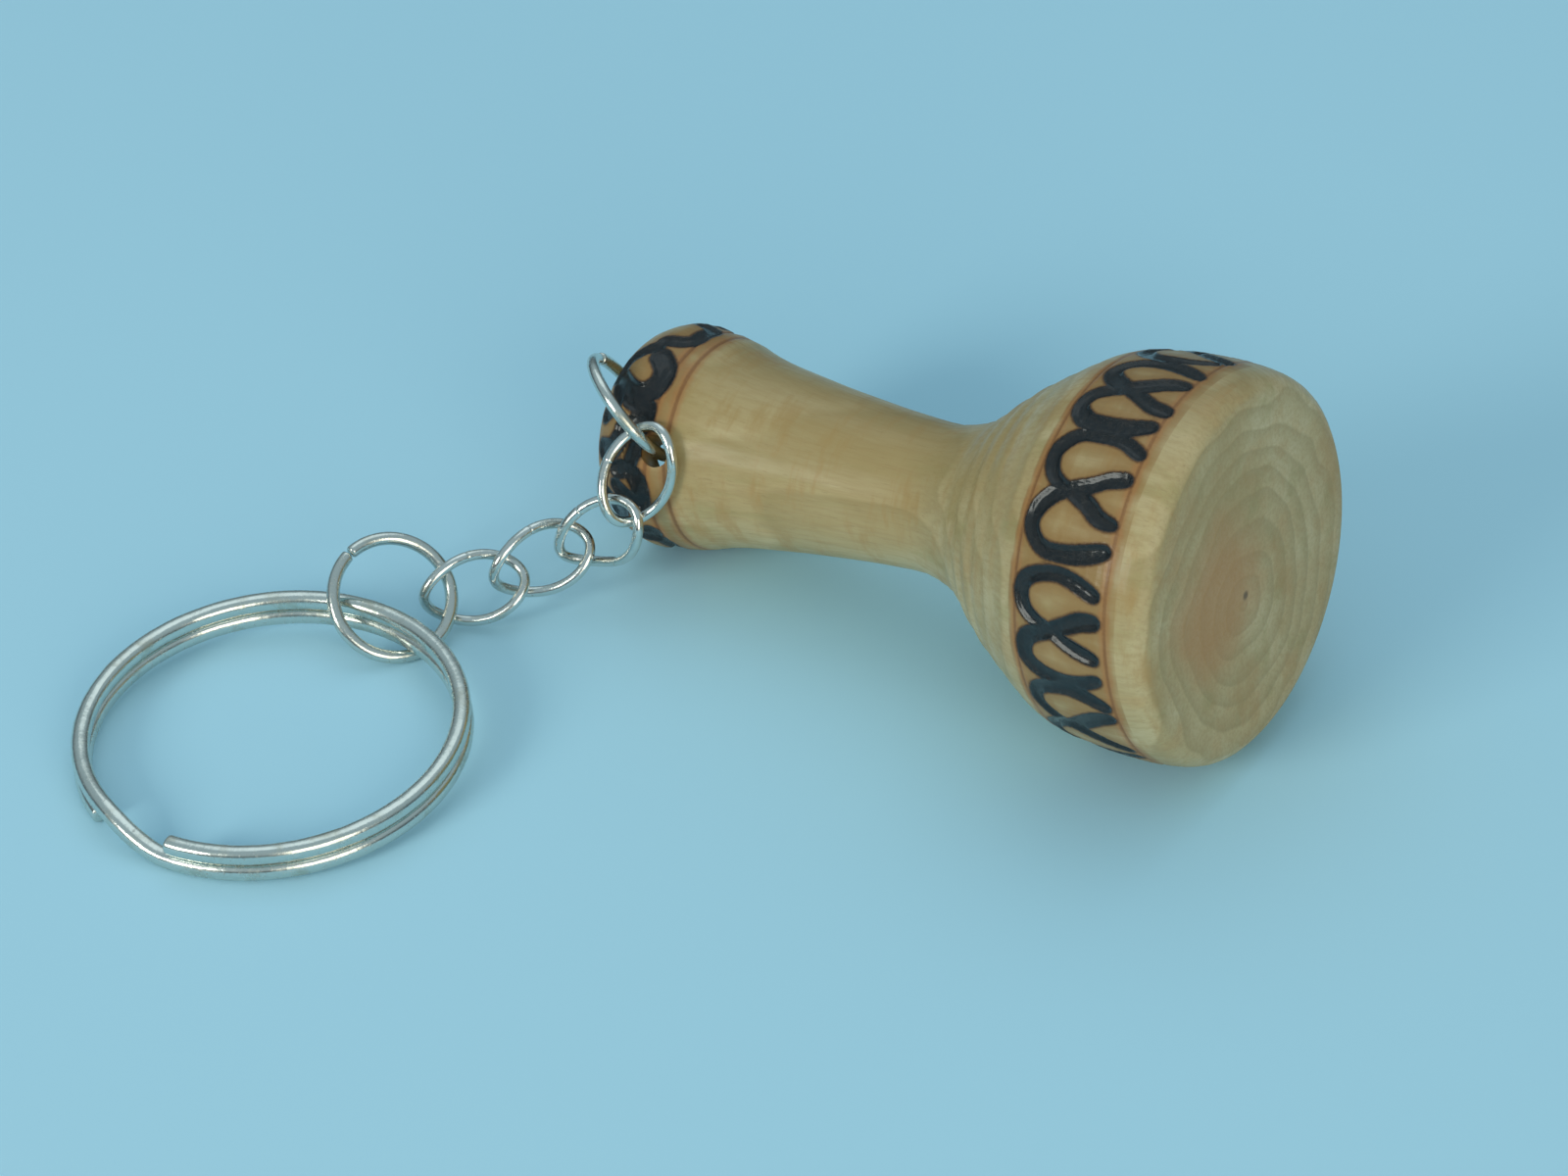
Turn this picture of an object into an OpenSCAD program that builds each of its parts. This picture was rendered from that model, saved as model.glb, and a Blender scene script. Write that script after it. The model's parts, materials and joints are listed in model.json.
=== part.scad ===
// Keychain: a turned wooden drum on a short curb chain with a split ring.
// Millimetres. The keychain lies on its side as it does on a table: Z is up, X runs along the
// drum from its foot to its head, and the origin is under the middle of the whole, on the table.

/* [Drum] */
// Length of the drum along its own axis
drum_length = 45; // [44:0.5:50]
// Radius of the bowl at its widest
bowl_radius = 12.5; // [12:0.1:13]
// Radius of the foot at its widest
foot_radius = 7.4; // [7.2:0.1:7.6]
// Radius of the neck at its narrowest
neck_radius = 4.8; // [4:0.1:5.5]
// Radius of the hollow bored into the foot
hollow_radius = 4.8; // [4.4:0.1:5]
// Depth of the hollow bored into the foot
hollow_depth = 8.5; // [7:0.5:12]
// Diameter of the slanted hole through the foot's wall
wall_hole = 2; // [1.8:0.1:2.2]

/* [Rings] */
// Radius of the foot ring and of the jump ring, to the middle of the wire
small_ring_radius = 3.85; // [3.8:0.01:3.9]
// Wire diameter of the foot ring
foot_ring_wire = 0.8; // [0.7:0.05:0.85]
// Wire diameter of the jump ring
jump_ring_wire = 0.85; // [0.7:0.05:0.9]
// Outer diameter of the split ring
split_ring_size = 25; // [24.8:0.05:25.1]
// Wire diameter of the split ring
split_ring_wire = 1.2; // [1:0.05:1.25]

/* [Chain] */
// Half the length of a link, to the middle of the wire
link_half_length = 3.28; // [3.2:0.02:3.3]
// Half the width of a link, to the middle of the wire
link_half_width = 2.12; // [2.08:0.01:2.15]
// Wire diameter of a link
link_wire = 0.7; // [0.6:0.05:0.75]
// Twist of each end of a link about its long axis, in degrees
link_twist = 31.5; // [30:0.5:33]

/* [Hidden] */

$fn = 96;
wood = "burlywood";
metal = "silver";
eps = 0.01;

// The drum's outline, as [distance from the foot, radius], from the foot to the head.
band_start = drum_length - 7.2;
drum_stations = [
    [0, foot_radius - 1.9],
    [0.35, foot_radius - 1.1],
    [1.35, foot_radius - 0.42],
    [2.7, foot_radius],
    [4.05, foot_radius - 0.15],
    [6, foot_radius - 0.45],
    [9, neck_radius + 1.37],
    [15.8, neck_radius + 0.48],
    [22.5, neck_radius],
    [25, neck_radius + 0.45],
    [27, neck_radius + 1.4],
    [drum_length - 15.3, bowl_radius * 0.673],
    [drum_length - 12.6, bowl_radius * 0.82],
    [drum_length - 9.9, bowl_radius * 0.943],
    [band_start, bowl_radius * 0.988],
    [band_start + 3.2, bowl_radius],
    [drum_length - 1.8, bowl_radius * 0.988],
    [drum_length - 0.6, bowl_radius * 0.96],
    [drum_length, bowl_radius * 0.904]
];
outline_steps = 4;

// The drum lies on its foot and its bowl, so it leans up towards the head.
drum_lean = 8.05;
drum_foot_place = [-13.79, 16.36];

// The slanted hole in the foot's wall, in the drum's own frame.
wall_hole_place = [-2.47, -5.52, 5.14];
wall_hole_turn = [0, 82.9, -134.6];
wall_hole_length = 5.5;

// Where each ring and link lies, and how it is turned.
foot_ring_place = [-12.25, 12.3, 11.68];
foot_ring_turn = [0, 54.7, 47.1];
link_places = [[-9.23, 8.61, 9.81], [-11.06, 6.68, 5.53], [-14.33, 4.44, 3.65], [-17, 0.74, 2.66]];
link_turns = [[35.9, -56, 77.5], [85.2, -41.7, 18.6], [67.8, -11.9, 53.9], [62.8, -6.4, 45.5]];
jump_ring_place = [-20.51, -3.22, 3.11];
jump_ring_turn = [0, 43.9, -29.4];
split_ring_place = [-19.84, -16.38, 1.7];
split_ring_lean = 2.29;
split_ring_lean_towards = -99.1;

// The small rings are closed by butting their ends: the cut is this many degrees wide.
ring_cut = 1.5;
foot_ring_cut_at = 130;
jump_ring_cut_at = 206;

// The split ring is one wire wound nearly twice round, with a step between its flat coils.
split_ring_radius = (split_ring_size - split_ring_wire) / 2;
coil_pitch = split_ring_wire + 0.02;
coil_step = 29;
coil_end_gap = 1.5;
split_ring_start = -83;
split_ring_turn = 720 - coil_step - coil_end_gap;

// Facets: sides of a wire, rings along a link and along the split ring.
wire_sides = 10;
link_rings = 40;
split_ring_rings = 124;

function unit(v) = v / norm(v);

// A point on the smooth curve through p, a fraction t of the way from p[i] to p[i + 1].
function curve_point(p, i, t) =
    let (a = p[max(i - 1, 0)], b = p[i], c = p[i + 1], d = p[min(i + 2, len(p) - 1)])
    (2 * b + (c - a) * t + (2 * a - 5 * b + 4 * c - d) * t * t + (3 * b - a - 3 * c + d) * t * t * t) / 2;

function curve(p, steps) = [
    for (i = [0 : len(p) - 2]) for (k = [0 : steps - 1]) curve_point(p, i, k / steps),
    p[len(p) - 1]
];

drum_outline = curve(drum_stations, outline_steps);

// Height of the axis at the foot, at which the leaning drum just touches the table.
drum_lift = max([for (q = drum_outline) q[1] * cos(drum_lean) - q[0] * sin(drum_lean)]);

// The points of a wire's cross-section at p, where the wire runs along t and s points sideways.
function wire_section(p, t, s, radius) =
    let (x = unit(s - (s * t) * t), y = cross(t, x))
    [for (k = [0 : wire_sides - 1]) let (a = 360 * k / wire_sides) p + radius * (cos(a) * x + sin(a) * y)];

// A wire along a path. Each path item is [point, sideways direction]; a closed path joins its ends.
module wire(path, radius, closed) {
    n = len(path);
    m = wire_sides;
    function before(i) = closed ? (i + n - 1) % n : max(i - 1, 0);
    function after(i) = closed ? (i + 1) % n : min(i + 1, n - 1);
    sections = [
        for (i = [0 : n - 1])
            wire_section(path[i][0], unit(path[after(i)][0] - path[before(i)][0]), path[i][1], radius)
    ];
    sides = [
        for (i = [0 : closed ? n - 1 : n - 2]) for (k = [0 : m - 1])
            let (j = (i + 1) % n, l = (k + 1) % m)
            [i * m + k, i * m + l, j * m + l, j * m + k]
    ];
    ends = closed ? [] : [[for (k = [m - 1 : -1 : 0]) k], [for (k = [0 : m - 1]) (n - 1) * m + k]];
    faces = [for (f = concat(sides, ends)) [for (k = [len(f) - 1 : -1 : 0]) f[k]]];
    polyhedron([for (s = sections) each s], faces);
}

// A point of a curb link: an oval whose ends are twisted opposite ways about its long axis.
function link_point(a) =
    let (q = -link_twist * cos(a))
    [link_half_length * cos(a), link_half_width * sin(a) * cos(q), link_half_width * sin(a) * sin(q)];

// A height of the split ring's wire at angle a from its upper end.
function coil_height(a) =
    let (step_start = 360 - coil_step)
    coil_pitch / 2 * (a < step_start ? 1 : a > 360 ? -1 : cos(180 * (a - step_start) / coil_step));

module small_ring(wire, cut_at) {
    rotate([0, 0, cut_at + ring_cut / 2])
        rotate_extrude(angle = 360 - ring_cut)
            translate([small_ring_radius, 0])
                circle(d = wire, $fn = 32);
}

module drum_body() {
    color(wood)
    translate([drum_foot_place[0], drum_foot_place[1], drum_lift])
        rotate([0, 90 - drum_lean, 0])
            difference() {
                rotate_extrude()
                    polygon(concat([[0, 0]], [for (q = drum_outline) [q[1], q[0]]], [[0, drum_length]]));
                translate([0, 0, -eps])
                    cylinder(h = hollow_depth + eps, r = hollow_radius);
                translate(wall_hole_place)
                    rotate(wall_hole_turn)
                        cylinder(h = wall_hole_length, d = wall_hole, center = true, $fn = 32);
            }
}

module foot_ring() {
    color(metal)
    translate(foot_ring_place)
        rotate(foot_ring_turn)
            small_ring(foot_ring_wire, foot_ring_cut_at);
}

module chain_link(i) {
    color(metal)
    translate(link_places[i])
        rotate(link_turns[i])
            wire([for (k = [0 : link_rings - 1]) let (p = link_point(360 * k / link_rings)) [p, unit(p)]],
                 link_wire / 2, true);
}

module chain_link_1() { chain_link(0); }

module chain_link_2() { chain_link(1); }

module chain_link_3() { chain_link(2); }

module chain_link_4() { chain_link(3); }

module jump_ring() {
    color(metal)
    translate(jump_ring_place)
        rotate(jump_ring_turn)
            small_ring(jump_ring_wire, jump_ring_cut_at);
}

module split_ring() {
    path = [
        for (k = [0 : split_ring_rings])
            let (a = split_ring_turn * k / split_ring_rings)
            let (g = a + split_ring_start, s = [cos(g), sin(g), 0])
            [split_ring_radius * s + [0, 0, coil_height(a)], s]
    ];
    color(metal)
    translate(split_ring_place)
        rotate([0, 0, split_ring_lean_towards])
            rotate([0, split_ring_lean, 0])
                rotate([0, 0, -split_ring_lean_towards])
                    wire(path, split_ring_wire / 2, false);
}

drum_body();
foot_ring();
chain_link_1();
chain_link_2();
chain_link_3();
chain_link_4();
jump_ring();
split_ring();
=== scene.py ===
import json
import math
import random

import bmesh
import bpy
import numpy as np
from mathutils import Matrix, Vector, kdtree


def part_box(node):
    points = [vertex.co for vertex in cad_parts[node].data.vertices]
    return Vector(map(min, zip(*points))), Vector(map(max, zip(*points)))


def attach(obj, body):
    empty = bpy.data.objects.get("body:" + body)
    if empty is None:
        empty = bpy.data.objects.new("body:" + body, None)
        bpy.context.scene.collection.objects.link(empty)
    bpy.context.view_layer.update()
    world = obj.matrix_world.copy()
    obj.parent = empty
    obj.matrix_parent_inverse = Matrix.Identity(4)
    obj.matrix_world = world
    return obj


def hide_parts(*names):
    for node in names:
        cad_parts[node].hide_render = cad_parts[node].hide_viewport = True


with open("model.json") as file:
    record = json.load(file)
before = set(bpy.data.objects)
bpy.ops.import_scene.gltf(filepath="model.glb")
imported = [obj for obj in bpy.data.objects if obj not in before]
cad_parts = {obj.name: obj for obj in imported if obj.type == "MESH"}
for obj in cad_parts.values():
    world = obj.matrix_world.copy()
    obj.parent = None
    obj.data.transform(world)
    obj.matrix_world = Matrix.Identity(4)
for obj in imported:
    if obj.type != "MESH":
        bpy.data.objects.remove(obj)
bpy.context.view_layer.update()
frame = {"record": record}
record = frame["record"]
MM = 0.001


# ---------------------------------------------------------------- camera, light and floor

VIEW_TARGET = Vector((-2.1, 14.0, 0.0)) * MM
VIEW_AZIMUTH = math.radians(35.9)
VIEW_ELEVATION = math.radians(38.4)
VIEW_ROLL = math.radians(-2.5)
VIEW_DISTANCE = 300.6 * MM
VIEW_LENS = 106.4
SENSOR_WIDTH = 36.0

FLOOR_SIZE = 4.0
FLOOR_COLOUR = (0.48, 0.79, 0.94, 1.0)
FLOOR_ROUGHNESS = 0.75
FLOOR_SPECULAR = 0.25

# The room's colour by the height of the direction, from the horizon to straight up.
ROOM_STOPS = (
    (0.0, (0.06, 0.08, 0.09, 1)),
    (0.2, (0.2, 0.27, 0.3, 1)),
    (0.55, (0.5, 0.68, 0.76, 1)),
    (1.0, (0.58, 0.78, 0.88, 1)),
)
ROOM_STRENGTH = 0.62

# Each light: name, place, size, power, colour.
LIGHTS = (
    ("overhead", (-0.2, 0.35, 0.75), 0.6, 0.7, (0.86, 0.97, 1.0)),
    ("window", (-0.2, -0.72, 0.34), 0.28, 2.3, (0.97, 1.0, 0.92)),
    ("lamp", (0.66, -0.42, 0.3), 0.5, 2.1, (1.0, 0.95, 0.8)),
)


def make_camera():
    """The camera. It looks along +Y at azimuth 0, and turns to the left of that as the azimuth grows."""
    forward = Vector((
        -math.sin(VIEW_AZIMUTH) * math.cos(VIEW_ELEVATION),
        math.cos(VIEW_AZIMUTH) * math.cos(VIEW_ELEVATION),
        -math.sin(VIEW_ELEVATION),
    ))
    level_right = forward.cross(Vector((0, 0, 1))).normalized()
    right = Matrix.Rotation(-VIEW_ROLL, 3, forward) @ level_right
    up = right.cross(forward)
    data = bpy.data.cameras.new("view")
    data.lens = VIEW_LENS
    data.sensor_width = SENSOR_WIDTH
    data.clip_start = 0.01
    data.clip_end = 20.0
    camera = bpy.data.objects.new("view", data)
    bpy.context.scene.collection.objects.link(camera)
    axes = Matrix((right, up, -forward)).transposed().to_4x4()
    camera.matrix_world = Matrix.Translation(VIEW_TARGET - forward * VIEW_DISTANCE) @ axes
    bpy.context.scene.camera = camera


def make_light(name, place, size, power, colour):
    """A square soft light at place, aimed at the middle of the floor."""
    data = bpy.data.lights.new(name, "AREA")
    data.shape = "SQUARE"
    data.size = size
    data.energy = power
    data.color = colour
    light = bpy.data.objects.new(name, data)
    bpy.context.scene.collection.objects.link(light)
    light.location = place
    light.rotation_euler = (-Vector(place)).to_track_quat("-Z", "Y").to_euler()


def make_world():
    """A pale room, brightest overhead and darker towards the horizon, for the metal to mirror."""
    world = bpy.data.worlds.new("room")
    bpy.context.scene.world = world
    world.use_nodes = True
    tree = world.node_tree
    background = tree.nodes["Background"]
    direction = tree.nodes.new("ShaderNodeTexCoord")
    parts = tree.nodes.new("ShaderNodeSeparateXYZ")
    ramp = tree.nodes.new("ShaderNodeValToRGB")
    tree.links.new(direction.outputs["Generated"], parts.inputs[0])
    tree.links.new(parts.outputs["Z"], ramp.inputs[0])
    tree.links.new(ramp.outputs[0], background.inputs[0])
    set_stops(ramp, ROOM_STOPS)
    background.inputs[1].default_value = ROOM_STRENGTH


def make_floor():
    """A wide sheet of pale blue paper under the keychain."""
    half = FLOOR_SIZE / 2
    corners = [(-half, -half, 0.0), (half, -half, 0.0), (half, half, 0.0), (-half, half, 0.0)]
    mesh = bpy.data.meshes.new("floor")
    mesh.from_pydata(corners, [], [(0, 1, 2, 3)])
    floor = bpy.data.objects.new("floor", mesh)
    bpy.context.scene.collection.objects.link(floor)
    material, _, surface = new_material("floor_paper")
    surface.inputs["Base Color"].default_value = FLOOR_COLOUR
    surface.inputs["Roughness"].default_value = FLOOR_ROUGHNESS
    surface.inputs["Specular IOR Level"].default_value = FLOOR_SPECULAR
    mesh.materials.append(material)


# ---------------------------------------------------------------- shader helpers

def set_stops(ramp, stops):
    """Sets a colour ramp's stops, each (position, colour)."""
    elements = ramp.color_ramp.elements
    while len(elements) > 1:
        elements.remove(elements[-1])
    elements[0].position, elements[0].color = stops[0]
    for position, colour in stops[1:]:
        elements.new(position).color = colour


def new_material(name):
    """A new material, its tree and its Principled shader."""
    material = bpy.data.materials.new(name)
    material.use_nodes = True
    return material, material.node_tree, material.node_tree.nodes["Principled BSDF"]


def add(tree, kind, inputs=None, **settings):
    """A new node. An input takes a value, or a socket to link from."""
    node = tree.nodes.new(kind)
    for key, value in settings.items():
        setattr(node, key, value)
    for key, value in (inputs or {}).items():
        if isinstance(value, bpy.types.NodeSocket):
            tree.links.new(value, node.inputs[key])
        else:
            node.inputs[key].default_value = value
    return node


def calc(tree, operation, a, b=0.0):
    """An arithmetic operation on two values or sockets."""
    return add(tree, "ShaderNodeMath", {0: a, 1: b}, operation=operation).outputs[0]


def plus(tree, a, b):
    """Two values or sockets added."""
    return calc(tree, "ADD", a, b)


def times(tree, a, b):
    """Two values or sockets multiplied."""
    return calc(tree, "MULTIPLY", a, b)


def fade(tree, value, low, high, to_low=0.0, to_high=1.0):
    """A smooth step from to_low, where value is low, to to_high, where it is high."""
    inputs = {"Value": value, "From Min": low, "From Max": high, "To Min": to_low, "To Max": to_high}
    return add(tree, "ShaderNodeMapRange", inputs, interpolation_type="SMOOTHSTEP").outputs[0]


def mix(tree, factor, a, b):
    """Colour a turning into colour b."""
    return add(tree, "ShaderNodeMix", {0: factor, 6: a, 7: b}, data_type="RGBA").outputs[2]


def noise(tree, vector, scale, detail=2.0, roughness=0.5):
    """Soft random values from 0 to 1."""
    inputs = {"Vector": vector, "Scale": scale, "Detail": detail, "Roughness": roughness}
    return add(tree, "ShaderNodeTexNoise", inputs).outputs[0]


def stretch(tree, vector, scale, offset=(0, 0, 0)):
    """Texture coordinates scaled along each axis, then moved by offset."""
    inputs = {"Vector": vector, "Scale": scale, "Location": offset}
    return add(tree, "ShaderNodeMapping", inputs).outputs[0]


def vector_sum(tree, operation, a, b):
    """An arithmetic operation on two vectors."""
    return add(tree, "ShaderNodeVectorMath", {0: a, 1: b}, operation=operation).outputs[0]


def enlarge(tree, vector, scale):
    """A vector made longer by scale."""
    return add(tree, "ShaderNodeVectorMath", {0: vector, "Scale": scale}, operation="SCALE").outputs[0]


def millimetres(tree):
    """Texture coordinates in millimetres."""
    return enlarge(tree, add(tree, "ShaderNodeTexCoord").outputs["Object"], 1000.0)


def attribute(tree, name):
    """A number that the mesh stores for each vertex."""
    return add(tree, "ShaderNodeAttribute", attribute_name=name).outputs["Fac"]


def bump(tree, height, distance, strength, normal=None):
    """A bumped normal, over an earlier one if there is one."""
    inputs = {"Height": height, "Distance": distance, "Strength": strength}
    if normal is not None:
        inputs["Normal"] = normal
    return add(tree, "ShaderNodeBump", inputs).outputs[0]


# ---------------------------------------------------------------- mesh helpers

def smooth(points, steps):
    """A smooth curve through points, with steps stretches between each two."""
    points = [np.asarray(p, float) for p in points]
    curve = []
    last = len(points) - 1
    for i in range(last):
        a, b, c, d = points[max(i - 1, 0)], points[i], points[i + 1], points[min(i + 2, last)]
        for k in range(steps):
            t = k / steps
            bend = (c - a) * t + (2 * a - 5 * b + 4 * c - d) * t**2 + (3 * b - a - 3 * c + d) * t**3
            curve.append(b + bend / 2)
    curve.append(points[-1])
    return np.array(curve)


def new_mesh(name, vertices, faces):
    """A mesh from its vertices and faces."""
    mesh = bpy.data.meshes.new(name)
    mesh.from_pydata([tuple(v) for v in vertices], [], faces)
    mesh.update()
    return mesh


def new_piece(mesh, matrix, material, body, node):
    """A visible piece that rides on a body and stands for a CAD node. Matrix lays it in its place."""
    mesh.transform(matrix)
    mesh.materials.append(material)
    piece = bpy.data.objects.new(mesh.name, mesh)
    bpy.context.scene.collection.objects.link(piece)
    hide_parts(node)
    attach(piece, body)


def store(mesh, name, values):
    """A number, or a place, for each of a mesh's vertices, for its material to read."""
    values = np.asarray(values, np.float32)
    if values.ndim == 1:
        stored = mesh.attributes.new(name, "FLOAT", "POINT")
        stored.data.foreach_set("value", values)
    else:
        stored = mesh.attributes.new(name, "FLOAT_VECTOR", "POINT")
        stored.data.foreach_set("vector", values.ravel())


def shade(mesh, sharp_angle):
    """Smooth shading, with edges sharper than sharp_angle degrees kept crisp."""
    mesh.polygons.foreach_set("use_smooth", [True] * len(mesh.polygons))
    mesh.set_sharp_from_angle(angle=math.radians(sharp_angle))


# ---------------------------------------------------------------- the drum

# Sizes in millimetres. "along" is measured from the foot's end; "round" is an angle in degrees about the
# drum's axis, from its far side over the top.
DRUM_LENGTH = 45.0
HOLLOW_RADIUS = 4.8
HOLLOW_DEPTH = 8.5
WALL_HOLE_RADIUS = 1.0
WALL_HOLE_PLACE = Vector((-2.47, -5.52, 5.14))
WALL_HOLE_TURN = (82.9, -134.6)
WALL_HOLE_REACH = 3.5

# The outline of the drum's outside: (along, radius).
DRUM_STATIONS = (
    (0, 5.5), (0.35, 6.3), (1.35, 6.98), (2.7, 7.4), (4.05, 7.25), (6, 6.95), (9, 6.17),
    (15.8, 5.28), (22.5, 4.8), (25, 5.25), (27, 6.2), (29.7, 8.41), (32.4, 10.25), (35.1, 11.79),
    (37.8, 12.35), (41, 12.5), (43.2, 12.35), (44.4, 12.0), (45, 11.3),
)
DRUM_CURVE = smooth(DRUM_STATIONS, 24)

# Edges sharper than this many degrees stay crisp.
DRUM_CREASE = 62
METAL_CREASE = 40

# The mesh: faces round the drum, and the steps along its outline. It is finest in the two burned bands.
COLUMNS = 480
FINE_STEP = 0.15
RIDGED_STEP = 0.35
COARSE_STEP = 1.2
BANDS = ((0.0, 6.6), (35.3, 43.2))
RIDGED_PART = (24.5, 35.3)
HEAD_EDGE_START = 43
FAR = 3.0

# Thin brown lines: along, how far it wanders, the angle at which that wandering is nothing, half its
# width, how deep it is cut.
LINES = (
    (4.62, 0.12, 60, 0.16, 0.09),
    (5.95, 0.3, 130, 0.15, 0.08),
    (35.9, 0.08, 140, 0.14, 0.07),
    (42.32, 0.18, 120, 0.13, 0.06),
)
LINE_WAVER = 0.03

# One burned loop, from the tip of its free arm round its closed end to the tip of the arm that crosses its
# neighbour's. Each point is (distance from the closed end, angle), in millimetres and degrees.
LOOP = (
    (5.3, -4.4), (4.0, -6.7), (2.6, -7.6), (1.2, -6.8), (0.3, -3.8), (0.0, 0.2),
    (0.35, 4.4), (1.2, 7.6), (2.2, 9.7), (3.3, 12.6), (4.3, 15.2), (5.3, 16.6),
)

# A burned groove: how deep it is, how wide its bank is, and the low lip just outside its edge.
BURN_DEPTH = 0.2
BANK_WIDTH = 0.34
LIP_HEIGHT = 0.02
LIP_PLACE = 0.1
LIP_WIDTH = 0.1

# The tool's faint steps on the bowl's back: where they are strongest, how far they spread from there, and
# how far the whole outside is sunk below the outline.
RIDGES_MIDDLE = 29.5
RIDGES_SPREAD = 3.6
RIDGES_SUNK = 0.02

# The bowl's row of loops. Each pair has its middle and the angle between its two loops.
LOOP_PAIRS = (
    (94.6, 16.4), (130.4, 18.9), (169.8, 17.8), (206.0, 18.2), (241.0, 17.0), (276.5, 18.6),
    (312.5, 17.4), (348.0, 18.0), (23.2, 18.8), (58.8, 17.2),
)
LOOP_SPREAD = 18.4
CROSSING_ARM = 11
LOOP_END = 36.55
LOOP_HALF_WIDTH = 0.56

# The foot's band is given stroke by stroke: each stroke is its points (along, round) and half its width.
FOOT_STROKES = (
    (((3.3, 103), (4.1, 109), (4.3, 117), (3.8, 124), (2.8, 126), (1.6, 122), (0.8, 117)), 0.78),
    (((0.9, 118), (0.8, 108), (1.6, 101), (2.6, 97)), 0.62),
    (((2.6, 128), (3.9, 132), (3.9, 141), (2.9, 147)), 0.84),
    (((1.2, 122), (1.7, 133), (0.9, 141)), 0.6),
    (((2.6, 92), (3.7, 89), (4.3, 84), (4.3, 76), (4.2, 67), (2.9, 63)), 0.6),
    (((2.8, 149), (2.2, 156), (1.1, 159)), 0.74),
    (((4.0, 153), (3.7, 161)), 0.5),
    (((2.5, 176), (3.2, 181), (4.0, 184), (4.3, 178), (4.1, 170), (3.4, 165), (2.6, 167)), 0.66),
    (((1.3, 184), (2.4, 191), (1.2, 198)), 0.62),
    (((4.0, 205), (4.0, 208)), 0.64),
)
# The strokes are repeated round the foot, turned by these angles, and the fillers close what is left.
FOOT_REPEATS = (0, 148)
FOOT_FILLERS = (
    (((2.5, 0), (3.8, 4), (4.3, 12), (4.0, 23), (2.8, 28), (1.4, 25), (0.9, 15), (1.5, 7)), 0.62),
    (((3.5, 31), (4.2, 41), (3.7, 51), (2.3, 54)), 0.66),
    (((1.0, 34), (2.1, 42), (1.0, 50)), 0.6),
)


def radius_at(along):
    """The drum's radius there, before anything is cut into it."""
    return np.interp(along, DRUM_CURVE[:, 0], DRUM_CURVE[:, 1])


def on_drum(along, angle, radius):
    """Places in the drum's own frame, with Z along its axis from the foot and Y to its far side."""
    angle = np.radians(angle)
    return np.stack([-radius * np.sin(angle), radius * np.cos(angle), along], -1)


def bowl_strokes():
    """The burned loops round the bowl: each stroke is (points in the drum's frame, half widths)."""
    draw = random.Random(11)
    strokes = []
    for pair_middle, spread in LOOP_PAIRS:
        for side in (-1, 1):
            centre = pair_middle + side * spread / 2
            length = draw.uniform(0.96, 1.05)
            width = spread / LOOP_SPREAD * draw.uniform(0.95, 1.06)
            start = LOOP_END + draw.uniform(-0.15, 0.15)
            reach = draw.uniform(0.88, 1.08)
            points = []
            for distance, angle in LOOP:
                arm = angle * (reach if angle > CROSSING_ARM else 1.0) + draw.uniform(-0.4, 0.4)
                points.append((start + distance * length, centre - side * arm * width))
            path = smooth(points, 14)
            count = len(path)
            from_end = np.minimum(np.arange(count), np.arange(count)[::-1]) / count
            wobble = np.sin(np.linspace(0, draw.uniform(8, 14), count) + draw.uniform(0, 6))
            thick = LOOP_HALF_WIDTH * draw.uniform(0.92, 1.1)
            widths = thick * (1 + 0.1 * wobble - 0.25 * np.exp(-from_end * 26))
            strokes.append((on_drum(path[:, 0], path[:, 1], radius_at(path[:, 0])), widths))
    return strokes


def foot_strokes():
    """The strokes burned round the foot, in the same form."""
    drawn = []
    for turn in FOOT_REPEATS:
        drawn += [(points, half_width, turn) for points, half_width in FOOT_STROKES]
    drawn += [(points, half_width, 0) for points, half_width in FOOT_FILLERS]
    strokes = []
    for points, half_width, turn in drawn:
        path = smooth([(along, angle + turn) for along, angle in points], 12)
        widths = np.full(len(path), half_width)
        widths[[0, -1]] *= 0.9
        strokes.append((on_drum(path[:, 0], path[:, 1], radius_at(path[:, 0])), widths))
    return strokes


def stroke_distance(places, strokes):
    """How far each place is from the nearest stroke's edge, in millimetres, and negative inside one."""
    samples = np.concatenate([s[0] for s in strokes])
    widths = np.concatenate([s[1] for s in strokes])
    tree = kdtree.KDTree(len(samples))
    for i, point in enumerate(samples):
        tree.insert(point, i)
    tree.balance()
    result = np.full(len(places), FAR)
    for i, place in enumerate(places):
        result[i] = min(distance - widths[k] for _, k, distance in tree.find_n(place, 3))
    return np.minimum(result, FAR)


def line_distance(along, angle):
    """The same for the thin lines, and how deep they are cut there."""
    best = np.full(np.shape(along), FAR)
    depth = np.zeros(np.shape(along))
    for place, wander, calm, half_width, cut in LINES:
        waver = LINE_WAVER * np.sin(np.radians(7 * angle + 40 * place))
        centre = place + wander * np.sin(np.radians(angle - calm)) + waver
        distance = np.abs(along - centre) - half_width
        inside = np.clip(-distance / half_width, 0, 1)
        depth = np.maximum(depth, cut * inside)
        best = np.minimum(best, distance)
    return best, depth


def outline_step(along):
    """How far it is to the next row of the outside."""
    if any(low <= along <= high for low, high in BANDS):
        return FINE_STEP
    if RIDGED_PART[0] < along < RIDGED_PART[1] or along > HEAD_EDGE_START:
        return RIDGED_STEP
    return COARSE_STEP


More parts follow.
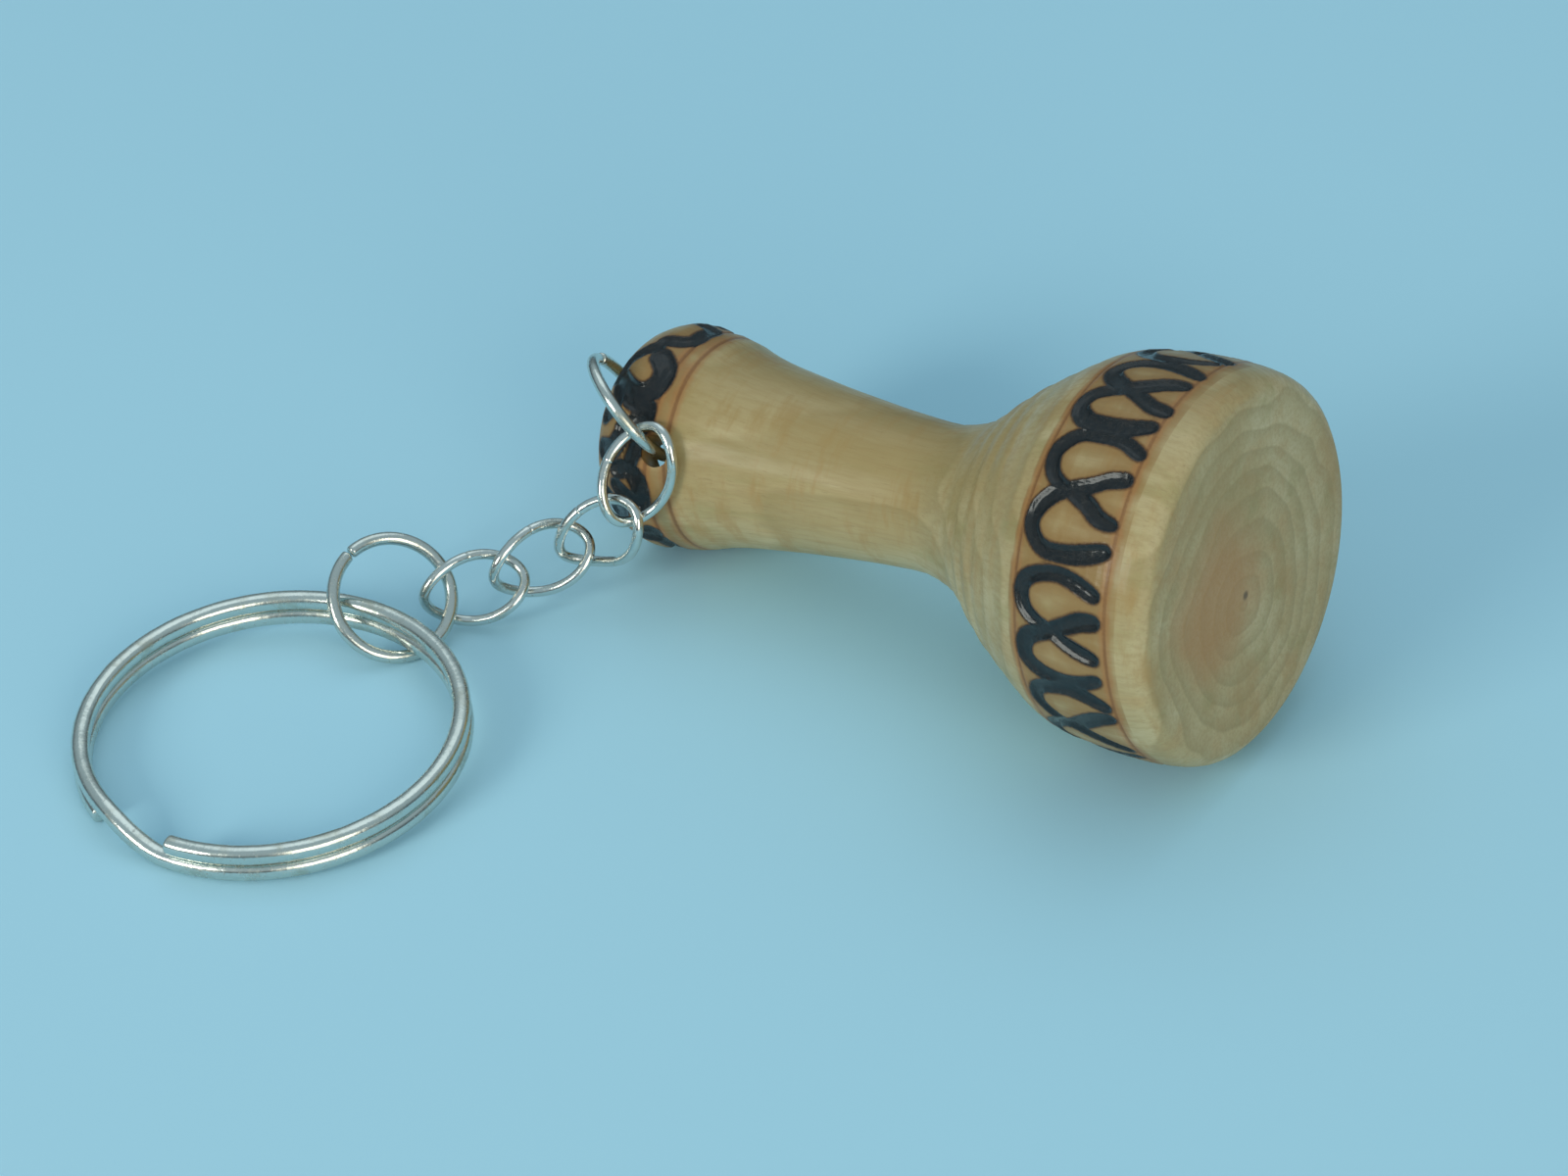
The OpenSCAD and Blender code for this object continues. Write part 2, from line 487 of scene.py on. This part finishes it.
def section_rows():
    """The drum's section as (along, radius) rows: the hollow's floor, the foot, the bowl and the head.

    It comes with the first row of the outside, and the first row after it."""
    fillet = 0.3
    chamfer = 0.15
    rows = [(HOLLOW_DEPTH, r) for r in np.linspace(0, HOLLOW_RADIUS - fillet, 6)]
    for turn in np.radians((30, 60)):
        depth = HOLLOW_DEPTH - fillet * (1 - math.cos(turn))
        rows.append((depth, HOLLOW_RADIUS - fillet * (1 - math.sin(turn))))
    walls = ((HOLLOW_DEPTH - fillet, 7.0, 0.6), (7.0, 3.3, 0.24), (3.3, chamfer, 0.8))
    for start, stop, step in walls:
        rows += [(s, HOLLOW_RADIUS) for s in np.arange(start, stop + 0.05, -step)]
    rows += [(chamfer, HOLLOW_RADIUS), (0.04, HOLLOW_RADIUS + 0.05), (0, HOLLOW_RADIUS + chamfer)]
    rows += [(0, r) for r in (5.15, 5.32)]
    first_outer = len(rows)
    lengths = np.concatenate([[0], np.cumsum(np.linalg.norm(np.diff(DRUM_CURVE, axis=0), axis=1))])
    here = 0.0
    while here < lengths[-1]:
        along = np.interp(here, lengths, DRUM_CURVE[:, 0])
        rows.append((along, np.interp(here, lengths, DRUM_CURVE[:, 1])))
        here += outline_step(along)
    last_outer = len(rows)
    rows += [(DRUM_LENGTH - 0.05, 11.22), (DRUM_LENGTH, 11.1)]
    rows += [(DRUM_LENGTH, r) for r in np.arange(10.4, 0.3, -0.9)]
    rows.append((DRUM_LENGTH, 0.0))
    return np.array(rows), first_outer, last_outer


def turned_ridges(along):
    """The faint steps that the turning tool left on the bowl's back, in millimetres of radius."""
    window = np.exp(-(((along - RIDGES_MIDDLE) / RIDGES_SPREAD) ** 2))
    fine = 0.006 * np.sin(along * 9.1) + 0.004 * np.sin(along * 15.7 + 1)
    steps = 0.075 * np.sin(along * 4.4 + 0.6) + 0.025 * np.sin(along * 8.3)
    return fine - RIDGES_SUNK + window * steps


def groove(burn):
    """How deep the wood is cut, by its distance from a stroke's edge. Just outside it stands up a little."""
    into = np.clip(-burn / BANK_WIDTH, 0, 1)
    lip = LIP_HEIGHT * np.exp(-(((burn - LIP_PLACE) / LIP_WIDTH) ** 2))
    return BURN_DEPTH * into * into * (3 - 2 * into) - lip


def outward_of(rows):
    """For each row of the section, the direction out of the wood, as (along, away from the axis)."""
    slope = np.gradient(rows, axis=0)
    outward = np.stack([-slope[:, 1], slope[:, 0]], -1)
    return outward / np.linalg.norm(outward, axis=1)[:, None]


def burned_bands(places, along, outer):
    """How far each of the drum's places is from the nearest burned stroke's edge."""
    burn = np.full(len(places), FAR)
    for (low, high), strokes in zip(BANDS, (foot_strokes(), bowl_strokes())):
        near = outer & (along >= low) & (along <= high)
        burn[near] = stroke_distance(places[near], strokes)
    return burn


def drum_skin(row_count):
    """The drum's faces, and which places they use. Its first and last rows are single points."""
    faces = []
    for i in range(1, row_count - 2):
        a, b = i * COLUMNS, (i + 1) * COLUMNS
        for k in range(COLUMNS):
            n = (k + 1) % COLUMNS
            faces.append((a + k, a + n, b + n, b + k))
    first, last = 0, (row_count - 1) * COLUMNS
    for k in range(COLUMNS):
        n = (k + 1) % COLUMNS
        faces.append((first, COLUMNS + n, COLUMNS + k))
        faces.append((last, last - COLUMNS + k, last - COLUMNS + n))
    used = np.zeros(row_count * COLUMNS, bool)
    used[COLUMNS:last] = True
    used[[first, last]] = True
    renumber = np.cumsum(used) - 1
    return [tuple(int(renumber[v]) for v in face) for face in faces], used


def cut_wall_hole(mesh):
    """Opens the slanted hole through the foot's wall and lines it with a wall of its own."""
    tilt, bearing = (math.radians(a) for a in WALL_HOLE_TURN)
    flat = math.sin(tilt)
    direction = Vector((flat * math.cos(bearing), flat * math.sin(bearing), math.cos(tilt)))
    place = WALL_HOLE_PLACE * MM
    radius = WALL_HOLE_RADIUS * MM
    bm = bmesh.new()
    bm.from_mesh(mesh)

    def from_axis(co):
        offset = co - place
        along = offset.dot(direction)
        return offset - along * direction, along

    doomed = []
    for vertex in bm.verts:
        away, along = from_axis(vertex.co)
        if away.length < radius and abs(along) < WALL_HOLE_REACH * MM:
            doomed.append(vertex)
    bmesh.ops.delete(bm, geom=doomed, context="VERTS")
    rim = [edge for edge in bm.edges if edge.is_boundary]
    for vertex in {v for edge in rim for v in edge.verts}:
        away, along = from_axis(vertex.co)
        vertex.co = place + along * direction + away.normalized() * radius
    bmesh.ops.bridge_loops(bm, edges=rim)
    bmesh.ops.recalc_face_normals(bm, faces=bm.faces)
    bm.to_mesh(mesh)
    bm.free()


def drum_matrix():
    """The drum's own frame in the row frame, from the record's mount on the flat end of the head."""
    head = next(m for m in record["mounts"] if m["name"] == "head_face")
    axis = Vector(head["axis"]).normalized()
    far = Vector((0, 1, 0))
    down = far.cross(axis).normalized()
    turn = Matrix((down, axis.cross(down), axis)).transposed().to_4x4()
    return Matrix.Translation(Vector(head["pos_m"]) - axis * DRUM_LENGTH * MM) @ turn


def make_drum():
    """The drum: its section swept round the axis, with the strokes and lines cut into its outside."""
    rows, first_outer, last_outer = section_rows()
    along = np.repeat(rows[:, 0], COLUMNS)
    radius = np.repeat(rows[:, 1], COLUMNS)
    angle = np.tile(np.arange(COLUMNS) * 360 / COLUMNS, len(rows))
    row_of = np.repeat(np.arange(len(rows)), COLUMNS)
    outer = (row_of >= first_outer) & (row_of < last_outer)
    places = on_drum(along, angle, radius)

    burn = burned_bands(places, along, outer)
    lines, line_cut = line_distance(along, angle)
    lines[~outer] = FAR
    cut = np.where(outer, groove(burn) + line_cut - turned_ridges(along), 0.0)
    push = -cut[:, None] * outward_of(rows)[row_of]
    places[:, 2] += push[:, 0]
    places += on_drum(np.zeros(len(push)), angle, push[:, 1])

    faces, used = drum_skin(len(rows))
    mesh = new_mesh("drum", places[used] * MM, faces)
    store(mesh, "burn", burn[used])
    store(mesh, "line", lines[used])
    cut_wall_hole(mesh)
    store(mesh, "own_place", [vertex.co / MM for vertex in mesh.vertices])
    shade(mesh, DRUM_CREASE)
    new_piece(mesh, drum_matrix(), wood_material(), "drum", "drum_body")


# ---------------------------------------------------------------- the drum's wood

# Lines along the drum that the wood's figure follows, and the one that the painted shade on its top follows:
# distance from its axis, and angle.
PITH = (1.3, 238.6)
HEARTWOOD = (3.6, 172.0)
# Painted shade: the brown band that darkens the drum's top is centred on this line.
TOP_SHADE_LINE = (7.2, 108.0)
PITH_LEAN = (0.006, -0.004)
HEARTWOOD_FROM = 30.0
HEARTWOOD_TO = 42.0

RING_WIDTH = 1.5
GRAIN_BEND = 2.2

# One growth ring from its inside to its outside: (share of its width, how dark).
RING_PROFILE = ((0.0, 0.12), (0.35, 0.35), (0.72, 0.8), (0.88, 1), (0.97, 0.3), (1.0, 0.12))

PALE = (0.6, 0.475, 0.265, 1)
HONEY = (0.5, 0.36, 0.17, 1)
OLIVE = (0.36, 0.29, 0.11, 1)
ROSY = (0.54, 0.33, 0.14, 1)
LATE_WOOD = (0.31, 0.225, 0.088, 1)
FIBRE = (0.36, 0.23, 0.1, 1)
FLECK = (0.2, 0.11, 0.045, 1)
FIGURE = (0.42, 0.25, 0.09, 1)
# Painted shade: the brown that darkens the drum's top.
PAINTED_TOP_SHADE = (0.37, 0.25, 0.09, 1)
HEARTWOOD_BROWN = (0.46, 0.215, 0.07, 1)
PITH_BROWN = (0.07, 0.035, 0.018, 1)
SCORCHED = (0.31, 0.165, 0.052, 1)
LINE_SCORCHED = (0.4, 0.16, 0.05, 1)
LINE_CHARRED = (0.2, 0.082, 0.026, 1)
TOASTED = (0.11, 0.045, 0.014, 1)
SOOT = (0.004, 0.006, 0.008, 1)
GREY_SOOT = (0.014, 0.012, 0.011, 1)

CHAR_ROUGHNESS = 0.22
WOOD_SPECULAR = 0.26
COAT_ROUGHNESS = 0.16
COAT_IOR = 1.5


def axis_point(distance, angle):
    """A point across the drum's axis, in its own frame."""
    angle = math.radians(angle)
    return -distance * math.sin(angle), distance * math.cos(angle)


def across(tree, vector, centre, lean=(0.0, 0.0)):
    """The distance from a line along the drum, which starts at centre and leans by lean a millimetre."""
    parts = add(tree, "ShaderNodeSeparateXYZ", {0: vector})
    squares = []
    for axis in (0, 1):
        line = plus(tree, times(tree, parts.outputs[2], lean[axis]), centre[axis])
        squares.append(calc(tree, "POWER", calc(tree, "SUBTRACT", parts.outputs[axis], line), 2.0))
    return calc(tree, "SQRT", plus(tree, *squares))


def bent_grain(tree, place):
    """The place, moved a little so that the growth rings wander."""
    inputs = {"Vector": stretch(tree, place, (1, 1, 0.25)), "Scale": 0.13, "Detail": 1.0}
    warp = add(tree, "ShaderNodeTexNoise", inputs).outputs["Color"]
    shift = enlarge(tree, vector_sum(tree, "SUBTRACT", warp, (0.5, 0.5, 0.5)), GRAIN_BEND)
    return vector_sum(tree, "ADD", place, shift)


def growth_rings(tree, place, bent):
    """How dark the growth rings are, by the distance from the pith."""
    pace = calc(tree, "DIVIDE", across(tree, bent, axis_point(*PITH), PITH_LEAN), RING_WIDTH)
    uneven = noise(tree, stretch(tree, place, (1, 1, 0.1)), 0.2, 1.0)
    pace = plus(tree, pace, times(tree, uneven, 1.2))
    ring = add(tree, "ShaderNodeValToRGB", {0: calc(tree, "FRACT", pace)})
    set_stops(ring, [(share, (dark, dark, dark, 1)) for share, dark in RING_PROFILE])
    return ring.outputs[0]


def plain_wood(tree, place, ring, fibres, flecks):
    """The colour of the turned wood, with its clouds, streaks, rings, fibres and flecks."""
    cloud = noise(tree, stretch(tree, place, (0.16, 0.16, 0.06), (5, 2, 8)), 1.0, 3.0, 0.55)
    streak = noise(tree, stretch(tree, place, (0.45, 0.45, 0.05), (1, 9, 4)), 1.0, 3.0, 0.55)
    figure = noise(tree, stretch(tree, place, (0.22, 0.22, 0.8), (4, 4, 2)), 1.0, 4.0, 0.62)
    colour = mix(tree, fade(tree, cloud, 0.36, 0.64), PALE, HONEY)
    colour = mix(tree, fade(tree, streak, 0.52, 0.72, 0.0, 0.55), colour, OLIVE)
    colour = mix(tree, fade(tree, streak, 0.46, 0.3, 0.0, 0.4), colour, ROSY)
    colour = mix(tree, times(tree, ring, 0.5), colour, LATE_WOOD)
    colour = mix(tree, fade(tree, fibres, 0.4, 0.66, 0.0, 0.28), colour, FIBRE)
    colour = mix(tree, fade(tree, flecks, 0.6, 0.74, 0.0, 0.2), colour, FLECK)
    return mix(tree, fade(tree, figure, 0.48, 0.7, 0.0, 0.62), colour, FIGURE)


def heartwood_pith_and_painted_shade(tree, place, bent, colour):
    """The same with painted shade darkening the drum's top in a brown band, the heartwood near the head, and
    the pith.
    """
    # Painted shade: a brown band along the drum's top darkens it, standing in for shade.
    top_shade_edge = noise(tree, stretch(tree, place, (1, 1, 0.3)), 0.5, 3.0)
    top_shade = plus(tree, across(tree, bent, axis_point(*TOP_SHADE_LINE)), times(tree, top_shade_edge, 4.0))
    colour = mix(tree, fade(tree, top_shade, 7.6, 3.6, 0.0, 0.5), colour, PAINTED_TOP_SHADE)

    heart_edge = times(tree, noise(tree, place, 0.42, 3.0), 3.0)
    heart = plus(tree, across(tree, bent, axis_point(*HEARTWOOD)), heart_edge)
    height = add(tree, "ShaderNodeSeparateXYZ", {0: place}).outputs[2]
    near_head = fade(tree, height, HEARTWOOD_FROM, HEARTWOOD_TO)
    stained = times(tree, fade(tree, heart, 8.0, 3.4, 0.0, 0.7), near_head)
    colour = mix(tree, stained, colour, HEARTWOOD_BROWN)

    dot = across(tree, place, axis_point(*PITH))
    return mix(tree, fade(tree, dot, 0.42, 0.12, 0.0, 0.75), colour, PITH_BROWN)


def centred_noise(tree, place, scale, detail, roughness, size):
    """Random values about 0, size apart at most."""
    return times(tree, calc(tree, "SUBTRACT", noise(tree, place, scale, detail, roughness), 0.5), size)


def burned_wood(tree, place, colour):
    """The same with the burned strokes and lines, and how far each spot is charred."""
    ragged = centred_noise(tree, place, 5.5, 3.0, 0.6, 0.16)
    broad = centred_noise(tree, place, 0.9, 2.0, 0.5, 0.7)
    burn = plus(tree, attribute(tree, "burn"), ragged)
    line = plus(tree, attribute(tree, "line"), times(tree, ragged, 0.6))
    scorch = fade(tree, plus(tree, burn, broad), 1.7, 0.1, 0.0, 0.86)
    toast = fade(tree, burn, 0.22, 0.0, 0.0, 0.9)
    char = fade(tree, burn, 0.07, -0.07)
    line_scorch = fade(tree, plus(tree, line, times(tree, broad, 0.7)), 0.42, 0.0, 0.0, 0.5)
    line_char = fade(tree, line, 0.05, -0.1, 0.0, 0.7)
    colour = mix(tree, scorch, colour, SCORCHED)
    colour = mix(tree, line_scorch, colour, LINE_SCORCHED)
    colour = mix(tree, line_char, colour, LINE_CHARRED)
    colour = mix(tree, toast, colour, TOASTED)
    soot = mix(tree, fade(tree, noise(tree, place, 3.2, 3.0), 0.4, 0.7), SOOT, GREY_SOOT)
    return mix(tree, char, colour, soot), char


def wood_relief(tree, place, ring, fibres, flecks, char):
    """The fine relief: the grain, the growth rings, and the crust on what is charred."""
    grain = plus(tree, times(tree, fibres, 0.7), times(tree, flecks, 0.3))
    normal = bump(tree, grain, 0.00006, 0.55)
    normal = bump(tree, ring, 0.00004, 0.3, normal)
    crust = times(tree, noise(tree, place, 4.6, 4.0, 0.65), char)
    return bump(tree, crust, 0.00016, 0.8, normal)


def wood_material():
    """Pale turned wood under a thin varnish, with growth rings, fibres and burned strokes and lines."""
    material, tree, surface = new_material("turned_wood")
    place = add(tree, "ShaderNodeAttribute", attribute_name="own_place").outputs["Vector"]
    bent = bent_grain(tree, place)
    ring = growth_rings(tree, place, bent)
    fibres = noise(tree, stretch(tree, place, (3.4, 3.4, 0.11)), 1.0, 4.0, 0.62)
    flecks = noise(tree, stretch(tree, place, (9.0, 9.0, 0.5), (3, 7, 1)), 1.0, 2.0, 0.5)
    colour = plain_wood(tree, place, ring, fibres, flecks)
    # Adds the painted shade on the drum's top, the heartwood and the pith.
    colour = heartwood_pith_and_painted_shade(tree, place, bent, colour)
    colour, char = burned_wood(tree, place, colour)
    inputs = {0: char, 2: fade(tree, fibres, 0.3, 0.7, 0.4, 0.56), 3: CHAR_ROUGHNESS}
    rough = add(tree, "ShaderNodeMix", inputs, data_type="FLOAT").outputs[0]
    normal = wood_relief(tree, place, ring, fibres, flecks, char)

    tree.links.new(colour, surface.inputs["Base Color"])
    tree.links.new(rough, surface.inputs["Roughness"])
    tree.links.new(normal, surface.inputs["Normal"])
    tree.links.new(fade(tree, char, 0.0, 1.0, 0.16, 0.5), surface.inputs["Coat Weight"])
    surface.inputs["Specular IOR Level"].default_value = WOOD_SPECULAR
    surface.inputs["Coat Roughness"].default_value = COAT_ROUGHNESS
    surface.inputs["Coat IOR"].default_value = COAT_IOR
    return material


# ---------------------------------------------------------------- rings and links

# Sizes in millimetres.
SMALL_RING_RADIUS = 3.85
SMALL_RING_GAP = 1.5
SMALL_RING_POINTS = 150

# Each small ring: piece, CAD node and body, turn, wire, where it is cut, how far its ends miss each other.
FOOT_RING = ("foot_loop", "foot_ring", (0, 54.7, 47.1), 0.8, 130, 0.12)
JUMP_RING = ("jump_loop", "jump_ring", (0, 43.9, -29.4), 0.85, 206, 0.3)

LINK_HALF_LENGTH = 3.28
LINK_HALF_WIDTH = 2.12
LINK_TWIST = math.radians(31.5)
LINK_WIRE = 0.7
LINK_TURNS = ((35.9, -56, 77.5), (85.2, -41.7, 18.6), (67.8, -11.9, 53.9), (62.8, -6.4, 45.5))
SEAM_AT = 90
SEAM_STEPS = (-4, -2.6, -1.7, -1.0, -0.5, 0, 0.5, 1.0, 1.7, 2.6, 4)
NOTCH_WIDTH = 0.8
SOLDER_WIDTH = 6

SPLIT_RING_WIRE = 1.2
SPLIT_RING_RADIUS = 11.9
SPLIT_RING_POINTS = 560
SPLIT_RING_DENTS = 190
DENT_DEPTH = 0.014
COIL_PITCH = 1.22
COIL_STEP = 29.0
COIL_START = -83.0
COIL_TURN = 720 - COIL_STEP - 1.5
COIL_SPREAD = 0.02
SPLIT_RING_LEAN = 2.29
SPLIT_RING_LEAN_TOWARDS = -99.1

# The visible wire of the links and of the split ring is thinner than the CAD's by this much in radius.
LINK_SLACK = 0.005
SPLIT_RING_SLACK = 0.004

# An open wire's ends are slightly rounded: its radius at the last few points, as a share of the full one.
END_SHARES = (0.72, 0.9, 0.98)
END_STEP = 0.05


def turned(place, turn):
    """A frame at place, turned about X, then Y, then Z by turn, in degrees."""
    x, y, z = (math.radians(a) for a in turn)
    spin = Matrix.Rotation(z, 4, "Z") @ Matrix.Rotation(y, 4, "Y") @ Matrix.Rotation(x, 4, "X")
    return Matrix.Translation(place) @ spin


def middle(node):
    """The middle of a CAD node's box."""
    low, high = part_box(node)
    return (Vector(low) + Vector(high)) / 2


def laid(node, turn, path):
    """The frame that turns a path and lays it where a CAD node lies."""
    spin = turned((0, 0, 0), turn)
    points = np.asarray(path) @ np.array(spin.to_3x3()).T
    reach = (points.max(0) + points.min(0)) / 2
    return Matrix.Translation(middle(node) - Vector(reach) * MM) @ spin


def wire(path, sideways, radii, sides, closed, squareness=2.0):
    """A wire along path: vertices, faces, and for each vertex how far along the wire it lies.

    sideways holds a direction across the wire at each point. An open wire has flat ends. A closed one
    counts its length both ways from its start, so that a texture along it meets itself."""
    path = np.asarray(path, float)
    count = len(path)
    if closed:
        along = np.roll(path, -1, 0) - np.roll(path, 1, 0)
    else:
        along = np.gradient(path, axis=0)
    along /= np.linalg.norm(along, axis=1)[:, None]
    side = sideways - (sideways * along).sum(1)[:, None] * along
    side /= np.linalg.norm(side, axis=1)[:, None]
    lift = np.cross(along, side)
    angle = np.arange(sides) * 2 * np.pi / sides
    c, s = np.cos(angle), np.sin(angle)
    stretch_out = (np.abs(c) ** squareness + np.abs(s) ** squareness) ** (-1 / squareness)
    c, s = c * stretch_out, s * stretch_out
    ring = c[None, :, None] * side[:, None] + s[None, :, None] * lift[:, None]
    vertices = (path[:, None] + np.asarray(radii)[:, None, None] * ring).reshape(-1, 3)
    faces = []
    for i in range(count if closed else count - 1):
        j = (i + 1) % count
        for k in range(sides):
            n = (k + 1) % sides
            faces.append((i * sides + k, i * sides + n, j * sides + n, j * sides + k))
    if not closed:
        faces.append(tuple(range(sides - 1, -1, -1)))
        faces.append(tuple((count - 1) * sides + k for k in range(sides)))
    lengths = np.concatenate([[0], np.cumsum(np.linalg.norm(np.diff(path, axis=0), axis=1))])
    if closed:
        lengths = np.minimum(lengths, lengths[-1] - lengths)
    return vertices, faces, np.repeat(lengths, sides)


def metal_piece(name, node, body, matrix, path, sideways, radii, material, sides=22, closed=False,
                squareness=2.0):
    """A wire piece, placed by matrix. Its vertices know how far along and round the wire they are."""
    vertices, faces, lengths = wire(path, sideways, radii, sides, closed, squareness)
    mesh = new_mesh(name, vertices * MM, faces)
    store(mesh, "along", lengths)
    store(mesh, "around", np.tile(np.arange(sides) / sides, len(path)))
    shade(mesh, METAL_CREASE)
    new_piece(mesh, matrix, material, body, node)


def end_radii(count, radius):
    """Radii along an open wire whose ends are slightly rounded."""
    radii = np.full(count, radius)
    for i, share in enumerate(END_SHARES):
        radii[i] = radii[-1 - i] = radius * share
    return radii


def end_spaced(start, stop, count, radius):
    """Angles from start to stop, close together at both ends so that the cut ends can be rounded."""
    step = math.degrees(END_STEP / radius)
    near = [0, step, 2.2 * step, 3.6 * step]
    return np.concatenate([
        [start + a for a in near],
        np.linspace(start + 6 * step, stop - 6 * step, count),
        [stop - a for a in reversed(near)],
    ])


def make_small_ring(name, node, turn, wire_size, cut_at, slip, material):
    """A ring bent from wire, whose cut ends miss each other sideways by slip."""
    half_gap = SMALL_RING_GAP / 2
    angles = end_spaced(cut_at + half_gap, cut_at + 360 - half_gap, SMALL_RING_POINTS, SMALL_RING_RADIUS)
    share = (angles - angles[0]) / (angles[-1] - angles[0])
    a = np.radians(angles)
    out = np.stack([np.cos(a), np.sin(a), 0 * a], -1)
    near_ends = np.clip(np.abs(share - 0.5) * 5 - 1.5, 0, 1)
    bend = 0.5 * slip * np.sign(share - 0.5) * near_ends ** 2
    path = out * (SMALL_RING_RADIUS + 0.35 * np.abs(bend))[:, None]
    path[:, 2] = bend
    radii = end_radii(len(path), wire_size / 2)
    metal_piece(name, node, node, turned(middle(node), turn), path, out, radii, material)


def make_link(number, material):
    """A curb link: an oval with its ends twisted opposite ways, and a fine soldered seam on one side."""
    name = f"link_{number}"
    node = f"chain_link_{number}"
    seam = SEAM_AT + np.array(SEAM_STEPS)
    angles = np.concatenate([np.arange(0, SEAM_AT - 4, 2.5), seam, np.arange(SEAM_AT + 5, 360, 2.5)])
    a = np.radians(angles)
    q = -LINK_TWIST * np.cos(a)
    oval = np.stack([
        LINK_HALF_LENGTH * np.cos(a),
        LINK_HALF_WIDTH * np.sin(a) * np.cos(q),
        LINK_HALF_WIDTH * np.sin(a) * np.sin(q),
    ], -1)
    notch = np.exp(-((angles - SEAM_AT) / NOTCH_WIDTH) ** 2)
    solder = np.exp(-((angles - SEAM_AT) / SOLDER_WIDTH) ** 2)
    radii = (LINK_WIRE / 2 - LINK_SLACK) * (1 - 0.1 * notch + 0.015 * solder)
    matrix = laid(node, LINK_TURNS[number - 1], oval)
    metal_piece(name, node, name, matrix, oval, oval.copy(), radii, material, sides=20, closed=True)


def stepped_down(angle):
    """How far the wire has come from the upper coil to the lower one, an angle after its upper end."""
    return np.clip((angle - (360 - COIL_STEP)) / COIL_STEP, 0, 1)


def coil_height(angle):
    """The split ring's wire above its middle plane, an angle after its upper end."""
    return COIL_PITCH / 2 * np.cos(np.pi * stepped_down(angle))


def tilted(lean, towards):
    """A tilt by lean degrees, towards a bearing."""
    bearing = math.radians(towards)
    tilt = Matrix.Rotation(math.radians(lean), 4, "Y")
    return Matrix.Rotation(bearing, 4, "Z") @ tilt @ Matrix.Rotation(-bearing, 4, "Z")


def make_split_ring(material):
    """One hard wire wound nearly twice round, with a step from the upper coil to the lower one."""
    draw = random.Random(3)
    angles = end_spaced(0, COIL_TURN, SPLIT_RING_POINTS, SPLIT_RING_RADIUS)
    a = np.radians(angles + COIL_START)
    out = np.stack([np.cos(a), np.sin(a), 0 * a], -1)
    reach = SPLIT_RING_RADIUS - COIL_SPREAD + 2 * COIL_SPREAD * stepped_down(angles)
    path = out * reach[:, None]
    path[:, 2] = coil_height(angles)
    radii = end_radii(len(path), SPLIT_RING_WIRE / 2 - SPLIT_RING_SLACK)
    dents = np.array([draw.uniform(-1, 1) for _ in range(SPLIT_RING_DENTS)])
    dented = np.interp(angles, np.linspace(0, COIL_TURN, len(dents)), dents)
    radii = radii * (1 + DENT_DEPTH * (dented - 1))
    loop = next(m for m in record["mounts"] if m["name"] == "key_loop")
    spin = tilted(SPLIT_RING_LEAN, SPLIT_RING_LEAN_TOWARDS)
    matrix = Matrix.Translation(Vector(loop["pos_m"])) @ spin
    metal_piece("key_ring", "split_ring", "split_ring", matrix, path, out, radii, material,
                sides=28, squareness=2.35)


# The film's colour as shares of the clean metal's, and the colour of the small spots.
WARM_SHARES = (0.72, 0.66, 0.54)
TARNISH = (0.24, 0.22, 0.18, 1)


def nickel_material(name, tint, polish, seed):
    """Bright nickel plate on drawn wire: fine lines, small dents, and a warm dull film in places."""
    material, tree, surface = new_material(name)
    place = stretch(tree, millimetres(tree), (1, 1, 1), (seed, seed * 2, seed * 3))
    wire_place = add(tree, "ShaderNodeCombineXYZ", {
        0: times(tree, attribute(tree, "along"), 0.35),
        1: times(tree, attribute(tree, "around"), 26.0),
        2: seed,
    }).outputs[0]
    drawn = noise(tree, wire_place, 1.0, 3.0, 0.6)
    film = noise(tree, place, 0.5, 4.0, 0.6)
    spots = noise(tree, place, 3.6, 3.0, 0.6)
    nicks = noise(tree, stretch(tree, wire_place, (3.4, 0.08, 1)), 1.0, 2.0, 0.5)

    warm = (*(part * share for part, share in zip(tint, WARM_SHARES)), 1)
    colour = mix(tree, fade(tree, film, 0.5, 0.74, 0.0, 0.6), (*tint, 1), warm)
    colour = mix(tree, fade(tree, spots, 0.62, 0.78, 0.0, 0.45), colour, TARNISH)
    rough = fade(tree, film, 0.42, 0.72, polish, polish + 0.14)
    rough = plus(tree, rough, fade(tree, spots, 0.55, 0.75, 0.0, 0.16))
    rough = plus(tree, rough, fade(tree, drawn, 0.4, 0.7, 0.0, 0.05))
    normal = bump(tree, drawn, 0.00002, 0.35)
    normal = bump(tree, nicks, 0.00006, 0.35, normal)
    normal = bump(tree, spots, 0.00003, 0.3, normal)

    tree.links.new(colour, surface.inputs["Base Color"])
    tree.links.new(rough, surface.inputs["Roughness"])
    tree.links.new(normal, surface.inputs["Normal"])
    surface.inputs["Metallic"].default_value = 1.0
    return material


# ---------------------------------------------------------------- making the scene

bpy.context.scene.view_settings.view_transform = "Standard"
make_camera()
make_world()
for light in LIGHTS:
    make_light(*light)
make_floor()

make_drum()

plate = nickel_material("nickel_plate", (0.66, 0.67, 0.62), 0.16, 4.0)
bright = nickel_material("nickel_links", (0.7, 0.71, 0.67), 0.13, 9.0)
hard = nickel_material("nickel_split_ring", (0.68, 0.7, 0.65), 0.17, 15.0)
make_small_ring(*FOOT_RING, plate)
make_small_ring(*JUMP_RING, plate)
for number in range(1, len(LINK_TURNS) + 1):
    make_link(number, bright)
make_split_ring(hard)
